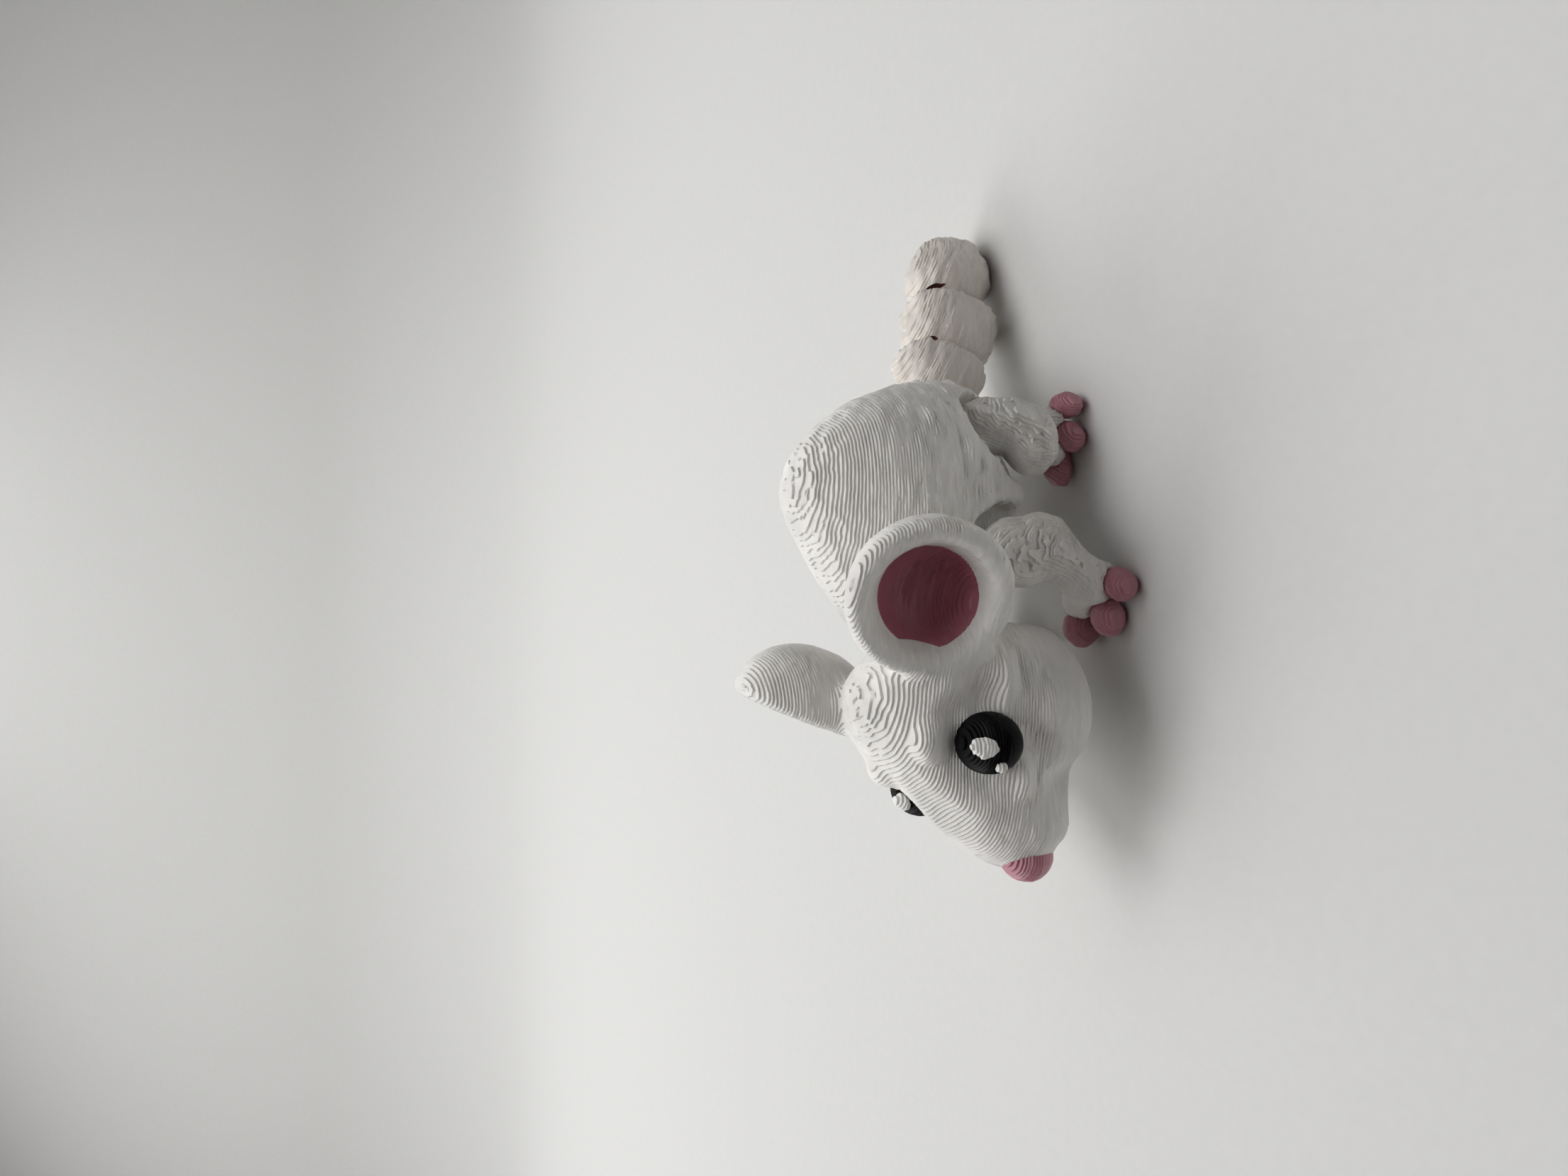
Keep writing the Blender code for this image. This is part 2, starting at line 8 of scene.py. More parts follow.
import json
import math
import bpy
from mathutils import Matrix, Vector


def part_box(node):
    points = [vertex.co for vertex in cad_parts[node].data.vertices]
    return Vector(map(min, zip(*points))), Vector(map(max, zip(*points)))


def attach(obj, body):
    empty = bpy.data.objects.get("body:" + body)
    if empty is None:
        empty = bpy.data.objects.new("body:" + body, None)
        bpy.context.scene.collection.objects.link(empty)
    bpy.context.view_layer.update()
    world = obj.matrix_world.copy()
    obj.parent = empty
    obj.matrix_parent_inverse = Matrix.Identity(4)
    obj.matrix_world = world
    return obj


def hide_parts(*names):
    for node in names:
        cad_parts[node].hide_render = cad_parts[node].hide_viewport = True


bl_info = {
    "name": "Printed Mouse",
    "version": (1, 0, 0),
    "blender": (4, 5, 0),
    "location": "View3D > Sidebar > Mouse",
    "description": "Turns the solids of a jointed toy mouse into a layered plastic print",
    "category": "Object",
}

import bpy
import numpy as np
from bpy.props import FloatProperty, FloatVectorProperty, PointerProperty
from mathutils import Matrix, Vector, noise

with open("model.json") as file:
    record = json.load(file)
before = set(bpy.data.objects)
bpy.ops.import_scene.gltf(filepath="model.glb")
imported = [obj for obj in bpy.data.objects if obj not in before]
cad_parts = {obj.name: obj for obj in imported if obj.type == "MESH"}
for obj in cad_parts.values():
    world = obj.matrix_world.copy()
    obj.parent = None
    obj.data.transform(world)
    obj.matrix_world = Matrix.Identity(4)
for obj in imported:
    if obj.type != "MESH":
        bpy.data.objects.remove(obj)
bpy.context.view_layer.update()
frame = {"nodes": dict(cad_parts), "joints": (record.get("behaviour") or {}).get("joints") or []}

MM = 0.001
UP = (0.0, 0.0, 1.0)
CAD_NODES = frame["nodes"]
JOINTS = {joint["name"]: joint for joint in frame["joints"]}
SIDES = ("left", "right")
VIEW_TURN = math.radians(22.0)
VIEW_TILT = math.radians(22.0)
CAMERA_PLACE = Vector((58.55, -28.09, 44.34)) * MM
# both in millimetres, as Blender's cameras have them
SENSOR_WIDTH = 36.0
LENS = 27.0163
# where a layer is cut: at the foot and the top of its groove, and at the lip of a lipped terrace
STRAND_ROWS = (0.43, 0.56, 0.78)


# ---------------------------------------------------------------- settings

def linear(hex_colour):
    """A linear colour from an sRGB hex value."""
    channels = []
    for i in (0, 2, 4):
        value = int(hex_colour[i:i + 2], 16) / 255.0
        channels.append(value / 12.92 if value <= 0.04045 else ((value + 0.055) / 1.055) ** 2.4)
    return (*channels, 1.0)


class PrintSettings(bpy.types.PropertyGroup):
    """How the printer laid the plastic."""
    layer: FloatProperty(
        name="Layer Height", description="Height of one layer of the print, in millimetres",
        default=0.16, min=0.05, max=0.6)
    strand: FloatProperty(
        name="Strand Bulge", description="How far a strand bulges between two grooves, in millimetres",
        default=0.03, min=0.0, max=0.2)
    wander: FloatProperty(
        name="Strand Wander", description="How far a strand strays from its line, in millimetres",
        default=0.016, min=0.0, max=0.1)


def colour_property(name, description, hex_colour):
    return FloatVectorProperty(name=name, description=description, subtype="COLOR", size=3,
                               min=0.0, max=1.0, default=linear(hex_colour)[:3])


class ColourSettings(bpy.types.PropertyGroup):
    """The plastics of the print and the card it stands on."""
    white: colour_property("White", "Filament of the body, the head and the legs", "F1EFEB")
    tail: colour_property("Tail", "Warmer white filament of the tail", "F0E9E1")
    pink: colour_property("Pink", "Filament of the nose and the toes", "CC8E9B")
    # the lining is pink filament made darker than the pink of the nose and toes, as painted shade of the
    # deep ear cup
    lining: colour_property("Lining", "Deep pink filament of the ear linings", "AC6874")
    # the gap colour is painted shade: a dark brown put on the inside of the tail's gaps for their shadow
    gap: colour_property("Gap", "Dark inside of the gaps between the tail links", "5E3C2E")
    black: colour_property("Black", "Filament of the eyes", "050507")
    glint: colour_property("Glint", "Bright white filament of the glints", "F6F5F2")
    card: colour_property("Card", "Pale card under and behind the toy", "DADAD8")


# ---------------------------------------------------------------- small helpers

def deselect():
    for obj in bpy.context.selected_objects:
        obj.select_set(False)


def choose(obj):
    """Makes one object the selected and active one."""
    deselect()
    bpy.context.view_layer.objects.active = obj
    obj.select_set(True)


def add_object(name, mesh):
    obj = bpy.data.objects.new(name, mesh)
    bpy.context.scene.collection.objects.link(obj)
    return obj


def add_modifier(obj, kind, **settings):
    """Adds a modifier, sets it and applies it."""
    choose(obj)
    modifier = obj.modifiers.new(kind.title(), kind)
    for key, value in settings.items():
        setattr(modifier, key, value)
    bpy.ops.object.modifier_apply(modifier=modifier.name)


def remove(*objects):
    for obj in objects:
        bpy.data.objects.remove(obj)


def joined(name, objects):
    """Joins objects into the first one and renames it."""
    choose(objects[0])
    for obj in objects[1:]:
        obj.select_set(True)
    if len(objects) > 1:
        bpy.ops.object.join()
    objects[0].name = name
    objects[0].data.name = name
    return objects[0]


def copy_of_nodes(name, nodes):
    """A mesh of these CAD nodes with the corners of its loose triangles merged."""
    obj = joined(name, [add_object(name, CAD_NODES[node].data.copy()) for node in nodes])
    obj.data.materials.clear()
    choose(obj)
    bpy.ops.object.mode_set(mode="EDIT")
    bpy.ops.mesh.select_all(action="SELECT")
    bpy.ops.mesh.remove_doubles(threshold=1e-7)
    bpy.ops.object.mode_set(mode="OBJECT")
    return obj


def melted(name, nodes, voxel, passes, swell=0.06, regain=0.0, fillers=()):
    """One smooth closed skin over these CAD nodes. Sizes are in millimetres.

    A filler is a node whose seat in the others is closed by a slightly smaller copy of it.
    """
    obj = copy_of_nodes(name, nodes)
    plugs = []
    for filler in fillers:
        plug = copy_of_nodes("plug", [filler])
        choose(plug)
        low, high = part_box(filler)
        bpy.ops.object.mode_set(mode="EDIT")
        bpy.ops.mesh.select_all(action="SELECT")
        bpy.ops.transform.resize(value=(0.9, 0.9, 0.9), center_override=(low + high) / 2)
        bpy.ops.object.mode_set(mode="OBJECT")
        plugs.append(plug)
    obj = joined(name, [obj] + plugs)
    if swell:
        add_modifier(obj, "DISPLACE", strength=swell * MM, mid_level=0.0)
    add_modifier(obj, "REMESH", mode="VOXEL", voxel_size=voxel * MM)
    add_modifier(obj, "SMOOTH", factor=0.5, iterations=passes)
    add_modifier(obj, "DISPLACE", strength=(regain - swell) * MM, mid_level=0.0)
    return obj


def combined(obj, tool, operation):
    add_modifier(obj, "BOOLEAN", operation=operation, object=tool, solver="MANIFOLD")


def stretch(obj, scale, shift):
    """Scales a piece about the middle of its box and shifts it, in millimetres."""
    middle = sum((Vector(corner) for corner in obj.bound_box), Vector()) / 8
    choose(obj)
    bpy.ops.object.mode_set(mode="EDIT")
    bpy.ops.mesh.select_all(action="SELECT")
    bpy.ops.transform.resize(value=scale, center_override=middle)
    bpy.ops.transform.translate(value=Vector(shift) * MM)
    bpy.ops.object.mode_set(mode="OBJECT")


def duplicate(obj, name):
    return add_object(name, obj.data.copy())


# ---------------------------------------------------------------- meshes as arrays, in millimetres

def read_points(mesh):
    points = np.empty(len(mesh.vertices) * 3)
    mesh.vertices.foreach_get("co", points)
    return points.reshape(-1, 3) / MM


def read_triangles(mesh):
    mesh.calc_loop_triangles()
    triangles = np.empty(len(mesh.loop_triangles) * 3, dtype=np.int32)
    mesh.loop_triangles.foreach_get("vertices", triangles)
    return triangles.reshape(-1, 3)


def write_mesh(obj, points, triangles):
    """Replaces the object's mesh by these points and triangles."""
    old = obj.data
    mesh = bpy.data.meshes.new(old.name)
    mesh.vertices.add(len(points))
    mesh.vertices.foreach_set("co", (points * MM).ravel())
    mesh.loops.add(triangles.size)
    mesh.loops.foreach_set("vertex_index", triangles.astype(np.int32).ravel())
    mesh.polygons.add(len(triangles))
    mesh.polygons.foreach_set("loop_start", np.arange(0, triangles.size, 3, dtype=np.int32))
    mesh.update(calc_edges=True)
    mesh.validate()
    obj.data = mesh
    bpy.data.meshes.remove(old)


def point_normals(points, triangles):
    """Normals of the points, weighted by the area of the triangles round each."""
    a, b, c = (points[triangles[:, i]] for i in range(3))
    faces = np.cross(b - a, c - a)
    normals = np.zeros_like(points)
    for i in range(3):
        for axis in range(3):
            normals[:, axis] += np.bincount(triangles[:, i], faces[:, axis], len(points))
    length = np.linalg.norm(normals, axis=1)
    return normals / np.maximum(length, 1e-12)[:, None]


def carve(obj, depth):
    """Moves each point along its normal by depth(point, normal), in millimetres."""
    points = read_points(obj.data)
    normals = point_normals(points, read_triangles(obj.data))
    moves = np.array([depth(Vector(p), Vector(n)) for p, n in zip(points, normals)])
    points += normals * moves[:, None]
    obj.data.vertices.foreach_set("co", (points * MM).ravel())
    obj.data.update()


def mound(point, centre, radii):
    """1 at the centre, falling softly to 0 at the radii."""
    reach = sum(((p - c) / r) ** 2 for p, c, r in zip(point, centre, radii))
    return (1.0 - reach) ** 2 if reach < 1.0 else 0.0


def ramp(value, low, high):
    """0 below low, 1 above high and smooth between."""
    t = min(max((value - low) / (high - low), 0.0), 1.0)
    return t * t * (3.0 - 2.0 * t)


# ---------------------------------------------------------------- slicing

def sliced(points, triangles, levels):
    """Cuts a mesh of triangles at rising heights and returns its new points and triangles."""
    band = np.searchsorted(levels, points[:, 2])
    order = np.argsort(points[triangles, 2], axis=1, kind="stable")
    sorted_corners = np.take_along_axis(triangles, order, axis=1)
    flipped = np.isin(order[:, 0] * 9 + order[:, 1] * 3 + order[:, 2], (7, 11, 21))
    low, middle, high = sorted_corners.T

    def edge_keys(first, second):
        return first.astype(np.int64) * len(points) + second

    keys = np.concatenate([edge_keys(low, high), edge_keys(low, middle), edge_keys(middle, high)])
    # two corners of one height may be sorted either way, so an edge is known by both orders
    edges, index = np.unique(keys, return_inverse=True)
    start, end = edges // len(points), edges % len(points)
    crossings = np.maximum(band[end] - band[start], 0)
    first = np.concatenate([[0], np.cumsum(crossings)[:-1]]) + len(points)
    owner = np.repeat(np.arange(len(edges)), crossings)
    step = np.arange(len(owner)) - (first[owner] - len(points))
    height = levels[band[start[owner]] + step]
    below, above = points[start[owner]], points[end[owner]]
    share = (height - below[:, 2]) / np.maximum(above[:, 2] - below[:, 2], 1e-12)
    cut = below + (above - below) * share[:, None]
    cut[:, 2] = height
    all_points = np.vstack([points, cut])

    count = len(triangles)
    long_edge, lower_edge, upper_edge = index[:count], index[count:2 * count], index[2 * count:]
    bands = band[high] - band[low] + 1
    owner = np.repeat(np.arange(count), bands)
    offset = np.arange(len(owner)) - np.repeat(np.cumsum(bands) - bands, bands)
    here = band[low][owner] + offset
    low_band, middle_band, high_band = band[low][owner], band[middle][owner], band[high][owner]

    def on_long(level):
        return first[long_edge[owner]] + level - low_band

    def on_short(level):
        lower = first[lower_edge[owner]] + level - low_band
        upper = first[upper_edge[owner]] + level - middle_band
        return np.where(level < middle_band, lower, upper)

    at_foot, at_top = here == low_band, here == high_band
    foot_long = np.where(at_foot, low[owner], on_long(here - 1))
    foot_short = np.where(at_foot, low[owner], on_short(here - 1))
    top_long = np.where(at_top, high[owner], on_long(here))
    top_short = np.where(at_top, high[owner], on_short(here))
    corner = np.where(here == middle_band, middle[owner], foot_short)
    fans = np.stack([
        np.stack([foot_long, foot_short, corner], axis=1),
        np.stack([foot_long, corner, top_short], axis=1),
        np.stack([foot_long, top_short, top_long], axis=1),
    ], axis=1)
    turn = flipped[owner]
    fans[turn] = fans[turn][:, :, ::-1]
    fans = fans.reshape(-1, 3)
    proper = (fans[:, 0] != fans[:, 1]) & (fans[:, 1] != fans[:, 2]) & (fans[:, 0] != fans[:, 2])
    return all_points, fans[proper]


def lay_down(obj, settings, up=UP, seed=1, strand=1.0, lipped=False, calm=None):
    """Draws a smooth skin out into the strands of a print whose layers rise along up.

    A slope becomes terraces. On a wall the terraces vanish, and each strand bulges over the
    groove that parts it from the strand below. Where the skin hangs over, the strands sag into
    one another. A lipped terrace is a little higher at its edge, where its outer strand runs.
    calm tells from the points, in millimetres, and the normals how much of all this shows: 0 is
    smooth, 1 is as usual and more is rougher.
    """
    layer = settings.layer
    turn = np.array(Vector(up).to_track_quat("Z", "Y").to_matrix())
    points = read_points(obj.data) @ turn
    # a hair up or down, so that no point lies exactly on a cut
    points[:, 2] += 1e-6 * np.sin(np.arange(len(points)) * 12.9898)
    triangles = read_triangles(obj.data)
    base = math.floor(points[:, 2].min() / layer) - 1
    layers = math.ceil(points[:, 2].max() / layer) + 1 - base
    rows = STRAND_ROWS if lipped else STRAND_ROWS[:2]
    levels = ((base + np.arange(layers))[:, None] + np.array(rows)[None, :]).ravel() * layer
    points, triangles = sliced(points, triangles, levels)
    normals = point_normals(points, triangles)
    shown = calm(points @ turn.T, normals @ turn.T) if calm else 1.0

    place = points[:, 2] / layer
    number = np.floor(place)
    part = place - number
    knots = (0.0, *rows, 1.0)
    step = np.interp(part, knots, (0.0, -0.15, 1.2, 0.85, 1.0) if lipped else (0.0, 0.05, 0.96, 1.0))
    bulge = np.interp(part, knots, (-0.2, -0.9, 0.6, 0.2, -0.2) if lipped else (-0.2, -0.9, 0.6, -0.2))

    draw = np.random.default_rng(seed)
    phase = draw.uniform(0.0, 2 * math.pi, (layers + 2, 4))[(number - base).astype(int)]
    x, y, z = points.T
    wander = (0.5 * np.sin(2.1 * x + 1.3 * y + phase[:, 0])
              + 0.35 * np.sin(4.7 * y - 3.1 * x + phase[:, 1])
              + 0.25 * np.sin(9.7 * x + 8.1 * y + phase[:, 2]))
    depth = (0.75 + 0.35 * np.sin(1.1 * x - 0.9 * y + 1.7 * z)
             + 0.3 * np.sin(3.3 * x + 2.9 * y + phase[:, 3]))
    held = np.clip(1.0 + 1.7 * normals[:, 2], 0.2, 1.0) * shown
    crisp = 0.5 + 0.5 * np.clip((normals[:, 2] - 0.35) / 0.4, 0.0, 1.0)
    points[:, 2] = (place + (number + step - place) * held * crisp) * layer
    out = (settings.strand * strand * bulge * depth + settings.wander * wander) * held
    points[:, :2] += normals[:, :2] * out[:, None]
    points = points @ turn.T
    points[:, 2] = np.maximum(points[:, 2], 0.0)
    write_mesh(obj, points, triangles)


def finish_piece(obj, body, slot, kind, *replaced):
    """Smooth shading with crisp grooves and the material; hangs the piece on its body and hides the solids
    it replaces.
    """
    obj.data.materials.clear()
    obj.data.materials.append(plastic(kind))
    choose(obj)
    bpy.ops.object.shade_smooth_by_angle(angle=math.radians(50.0))
    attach(obj, body)
    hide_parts(*replaced)
    return obj


def inlay(skin, name, cutter):
    """The part of a layered skin inside the cutter, as an object of its own."""
    piece = duplicate(skin, name)
    combined(piece, cutter, "INTERSECT")
    return piece


# ---------------------------------------------------------------- materials

def add_node(tree, kind, inputs=None, **settings):
    """Adds a node, sets its properties, and sets or links its inputs."""
    node = tree.nodes.new(kind)
    for key, value in settings.items():
        setattr(node, key, value)
    for key, value in (inputs or {}).items():
        if isinstance(value, bpy.types.NodeSocket):
            tree.links.new(value, node.inputs[key])
        else:
            node.inputs[key].default_value = value
    return node


def scaled(colour, factor):
    return (*[channel * factor for channel in colour], 1.0)


def printed_plastic(name, colour, roughness, scatter, shine):
    """FDM-printed PLA: satin strands, a little light inside, faint streaks along the strands.

    The streaks are about 1.6 mm long in the strand and a sixth of that across it. The grain is
    0.25 mm, coarser than that of real filament, so that it shows.
    """
    material = bpy.data.materials.new(name)
    material.use_nodes = True
    tree = material.node_tree
    shader = tree.nodes["Principled BSDF"]
    place = add_node(tree, "ShaderNodeTexCoord")
    drawn_out = add_node(tree, "ShaderNodeMapping", {
        "Vector": place.outputs["Object"], "Scale": (1.0, 1.0, 6.0)})
    streak = add_node(tree, "ShaderNodeTexNoise", {
        "Vector": drawn_out.outputs[0], "Scale": 1.0 / (1.6 * MM), "Detail": 4.0, "Roughness": 0.6})
    cloud = add_node(tree, "ShaderNodeTexNoise", {
        "Vector": place.outputs["Object"], "Scale": 1.0 / (4.0 * MM), "Detail": 2.0})
    both = add_node(tree, "ShaderNodeMath", {
        0: streak.outputs[0], 1: cloud.outputs[0]}, operation="MULTIPLY")
    spread = add_node(tree, "ShaderNodeMapRange", {
        "Value": both.outputs[0], "From Min": 0.12, "From Max": 0.42})
    tint = add_node(tree, "ShaderNodeMix", {
        0: spread.outputs[0], 6: scaled(colour, 0.79), 7: scaled(colour, 1.0)}, data_type="RGBA")
    gloss = add_node(tree, "ShaderNodeMapRange", {
        "Value": streak.outputs[0], "From Min": 0.3, "From Max": 0.7,
        "To Min": roughness - 0.07, "To Max": roughness + 0.09})
    grain = add_node(tree, "ShaderNodeTexNoise", {
        "Vector": drawn_out.outputs[0], "Scale": 1.0 / (0.25 * MM), "Detail": 2.0})
    bump = add_node(tree, "ShaderNodeBump", {
        "Height": grain.outputs[0], "Strength": 0.25, "Distance": 0.02 * MM})
    tree.links.new(tint.outputs[2], shader.inputs["Base Color"])
    tree.links.new(gloss.outputs[0], shader.inputs["Roughness"])
    tree.links.new(bump.outputs[0], shader.inputs["Normal"])
    shader.inputs["IOR"].default_value = 1.46
    shader.inputs["Specular IOR Level"].default_value = shine
    shader.inputs["Subsurface Weight"].default_value = scatter
    shader.inputs["Subsurface Radius"].default_value = (1.0, 0.85, 0.7)
    shader.inputs["Subsurface Scale"].default_value = 0.2 * MM
    return material


# name, roughness, share of light that scatters inside, shine
PLASTICS = {
    "white": ("FDM_printed_white_PLA", 0.42, 0.12, 0.5),
    "tail": ("FDM_printed_warm_white_PLA", 0.45, 0.12, 0.5),
    "pink": ("FDM_printed_pink_PLA", 0.38, 0.10, 0.5),
    # the linings: pink plastic, darkened as painted shade of the deep ear cup
    "lining": ("FDM_printed_deep_pink_PLA", 0.40, 0.05, 0.5),
    # painted shade: a dark brown for the shadow inside the gaps of the tail
    "gap": ("FDM_printed_PLA_scorched_in_the_gap", 0.60, 0.0, 0.2),
    "black": ("FDM_printed_black_PLA", 0.40, 0.0, 0.12),
    "glint": ("FDM_printed_bright_white_PLA", 0.35, 0.2, 0.5),
}


def plastic(kind):
    """The material of this kind, made when it is first asked for."""
    name, *look = PLASTICS[kind]
    colour = getattr(bpy.context.scene.mouse_colour, kind)
    return bpy.data.materials.get(name) or printed_plastic(name, colour, *look)


# ---------------------------------------------------------------- the head

# how the head is posed: turned and leaned about its joint, after a shift in millimetres
HEAD_TURN = math.radians(5.0)
HEAD_LEAN = math.radians(6.0)
HEAD_SHIFT = Vector((-0.3, 0.88, 0.0))
# places and radii in the head's own frame, in millimetres; but for the places of the eyes, the
# left side stands for both
EYES = {"eye_left": Vector((3.95, -16.5, 10.45)), "eye_right": Vector((-3.69, -16.46, 10.12))}
EYE_RADII = (1.7, 1.72, 1.85)
EYE_FACING = Vector((0.864, -0.459, 0.208))
EYE_TURN = math.radians(62.0)
EYE_TILT = math.radians(-12.0)
SOCKET_WIDTH = 1.15
EAR = Vector((7.55, -9.75, 14.75))
EAR_FACING = Vector((0.56, -0.78, 0.27)).normalized()
EAR_REACH = 4.6
CUP_RADIUS = 3.2
CUP_DEPTH = 0.8
LINING_RADII = (3.8, 3.8, 3.62)
LINING_DEPTH = 0.85
LINING_INNER_SIDE = 2.8
# height, centre and radii of each form of the face, in millimetres; a height below 0 is a hollow
FACE = (
    (0.30, (2.3, -18.6, 11.8), (1.5, 3.4, 3.2)),     # sides of the nose's bridge
    (-0.18, (0.0, -18.6, 11.8), (1.5, 3.4, 3.2)),    # bridge, flat across
    (0.80, (2.7, -16.0, 13.3), (1.7, 1.7, 1.3)),     # brow
    (-0.30, (4.4, -14.6, 12.8), (1.2, 1.2, 1.2)),    # dip behind the brow
    (0.60, (4.0, -18.7, 8.7), (1.3, 2.0, 0.9)),      # bag under the eye
    (-0.34, (3.9, -18.7, 6.2), (0.9, 1.4, 1.5)),     # corner of the mouth
    (0.18, (5.2, -15.0, 5.8), (2.0, 3.0, 2.0)),      # jaw
    (-0.55, (5.5, -14.2, 11.2), (1.6, 2.0, 1.9)),    # temple
    (0.42, (5.9, -13.6, 9.9), (1.2, 2.6, 0.7)),      # fold of the cheek
    (-0.30, (6.2, -13.2, 8.8), (1.0, 1.8, 0.6)),     # groove under the fold
)


def head_frame():
    """From the head's own upright frame, in millimetres, to its place on the toy."""
    pivot = Vector(JOINTS["neck_turn"]["pos_m"]) / MM
    return (Matrix.Translation(pivot) @ Matrix.Rotation(HEAD_TURN, 4, "Z")
            @ Matrix.Rotation(HEAD_LEAN, 4, "Y") @ Matrix.Translation(HEAD_SHIFT - pivot))


def shape_head(point, normal, back):
    """The forms of the face, the eye sockets, the deep ears and the unevenness of the print.

    back leads from the toy to the head's own upright frame.
    """
    local = back @ point
    x, y, z = abs(local.x), local.y, local.z
    spot = Vector((x, y, z))
    facing = back.to_3x3() @ normal
    facing.x *= 1.0 if local.x > 0.0 else -1.0
    from_ear = (spot - EAR).length
    rough = ramp(normal.z, 0.8, 0.97) * ramp(from_ear, 4.2, 5.2)
    depth = 0.03 * noise.noise(local * 0.9)
    depth += (0.02 + 0.14 * rough) * noise.noise(local * 0.85 + Vector((7, 3, 1)))
    depth += (0.012 + 0.13 * rough) * noise.noise(local * 2.1)
    if from_ear < EAR_REACH:
        rel = spot - EAR
        into = rel.dot(EAR_FACING)
        radial = (rel - EAR_FACING * into).length
        cup = max(0.0, 1.0 - (radial / CUP_RADIUS) ** 2)
        return 0.3 * depth - CUP_DEPTH * cup * ramp(facing.dot(EAR_FACING), 0.0, 0.5)
    for height, centre, radii in FACE:
        depth += height * mound(spot, centre, radii)
    away = spot - EYES["eye_left"]
    flat = away - EYE_FACING * away.dot(EYE_FACING)
    ring = (flat.length / EYE_RADII[2] - 1.0) / SOCKET_WIDTH
    if ring < 1.0:
        above = ramp(away.z, -1.6, 1.2)
        depth -= (0.25 + 0.6 * above) * max(0.0, 1.0 - ring ** 2) ** 2
    return depth


def calm_head(points, back):
    """The rims of the ears and the jaws are smooth."""
    back = np.array(back)
    local = points @ back[:3, :3].T + back[:3, 3]
    local[:, 0] = np.abs(local[:, 0])
    rel = local - np.array(EAR)
    into = rel @ np.array(EAR_FACING)
    off_axis = np.linalg.norm(rel - into[:, None] * np.array(EAR_FACING), axis=1)
    rim = np.clip((4.35 - off_axis) / 0.5, 0.0, 1.0) * np.clip((into + 1.5) / 0.6, 0.0, 1.0)
    jaw = np.clip((8.0 - local[:, 2]) / 1.5, 0.0, 1.0)
    return (1.0 - 0.8 * rim) * (1.0 - 0.7 * jaw)


def ear_lining_cutter(side):
    """A bowl that reaches through the skin of the cup, cut near its mouth and beside the head."""
    sign = 1.0 if side == "left" else -1.0
    facing = Vector((sign * EAR_FACING.x, EAR_FACING.y, EAR_FACING.z))
    place = head_frame() @ Vector((sign * EAR.x, EAR.y, EAR.z))
    turn = head_frame().to_3x3()
    out = (turn @ facing).normalized()
    tilt = (out + turn @ Vector((sign * 0.16, 0.1, 0.12))).normalized()
    deselect()
    bpy.ops.mesh.primitive_uv_sphere_add(
        segments=64, ring_count=32, radius=MM, location=place * MM, scale=LINING_RADII,
        rotation=out.to_track_quat("Z", "Y").to_euler())
    cutter = bpy.context.object
    bpy.ops.object.transform_apply(location=True, rotation=True, scale=True)
    bpy.ops.object.mode_set(mode="EDIT")
    inward = out.cross(turn @ Vector(UP)).normalized() * sign
    for where, across in ((place - out * LINING_DEPTH, tilt), (place + inward * LINING_INNER_SIDE, inward)):
        bpy.ops.mesh.select_all(action="SELECT")
        bpy.ops.mesh.bisect(plane_co=where * MM, plane_no=across, use_fill=True, clear_outer=True)
    bpy.ops.object.mode_set(mode="OBJECT")
    return cutter


def eye_ball(node):
    """The ball of an eye without the seats of its glints."""
    side = 1.0 if node == "eye_left" else -1.0
    turn = (head_frame().to_3x3() @ Matrix.Rotation(side * EYE_TURN, 3, "Z")
            @ Matrix.Rotation(EYE_TILT, 3, "X"))
    centre = head_frame() @ EYES[node]
    deselect()
    bpy.ops.mesh.primitive_ico_sphere_add(subdivisions=6, radius=MM, location=centre * MM,
                                          rotation=turn.to_euler(), scale=EYE_RADII)
    ball = bpy.context.object
    bpy.ops.object.transform_apply(location=True, rotation=True, scale=True)
    ball.name = ball.data.name = node + "_print"
    return ball


def make_head(settings):
    linings = ["ear_lining_left", "ear_lining_right"]
    skin_nodes = ["head", "ear_left", "ear_right"]
    up = head_frame().to_3x3() @ Vector(UP)
    skin = melted("head_skin", skin_nodes + linings, voxel=0.38, passes=3, swell=0.06, regain=0.03,
                  fillers=(*EYES, "nose"))
    back = head_frame().inverted()
    carve(skin, lambda point, normal: shape_head(point, normal, back))
    lay_down(skin, settings, up, seed=3, calm=lambda points, normals: calm_head(points, back))
    for side in SIDES:
        cutter = ear_lining_cutter(side)
        node = f"ear_lining_{side}"
        finish_piece(inlay(skin, node + "_print", cutter), "head", "lining_plastic", "lining", node)
        combined(skin, cutter, "DIFFERENCE")
        remove(cutter)
    for node in ("nose", *EYES):
        if node in EYES:
            kind, piece = "black", eye_ball(node)
        else:
            kind = "pink"
            piece = melted(node + "_print", [node], voxel=0.12, passes=4, swell=0.05, regain=0.03)
        lay_down(piece, settings, up, seed=9)
        combined(skin, piece, "DIFFERENCE")
        finish_piece(piece, "head", kind + "_plastic", kind, node)
    finish_piece(skin, "head", "white_plastic", "white", *skin_nodes)


def make_glints(settings):
    for side in SIDES:
        for number in (1, 2):
            node = f"glint_{side}_{number}"
            glint = melted(node + "_print", [node], voxel=0.07, passes=2, swell=0.02, regain=0.03)
            carve(glint, lambda point, normal: 0.12 * noise.noise(point * 2.0 + Vector((4, 0, 2))))
            lay_down(glint, settings, seed=40 + number)
            finish_piece(glint, "head", "white_plastic", "glint", node)


# ---------------------------------------------------------------- the trunk

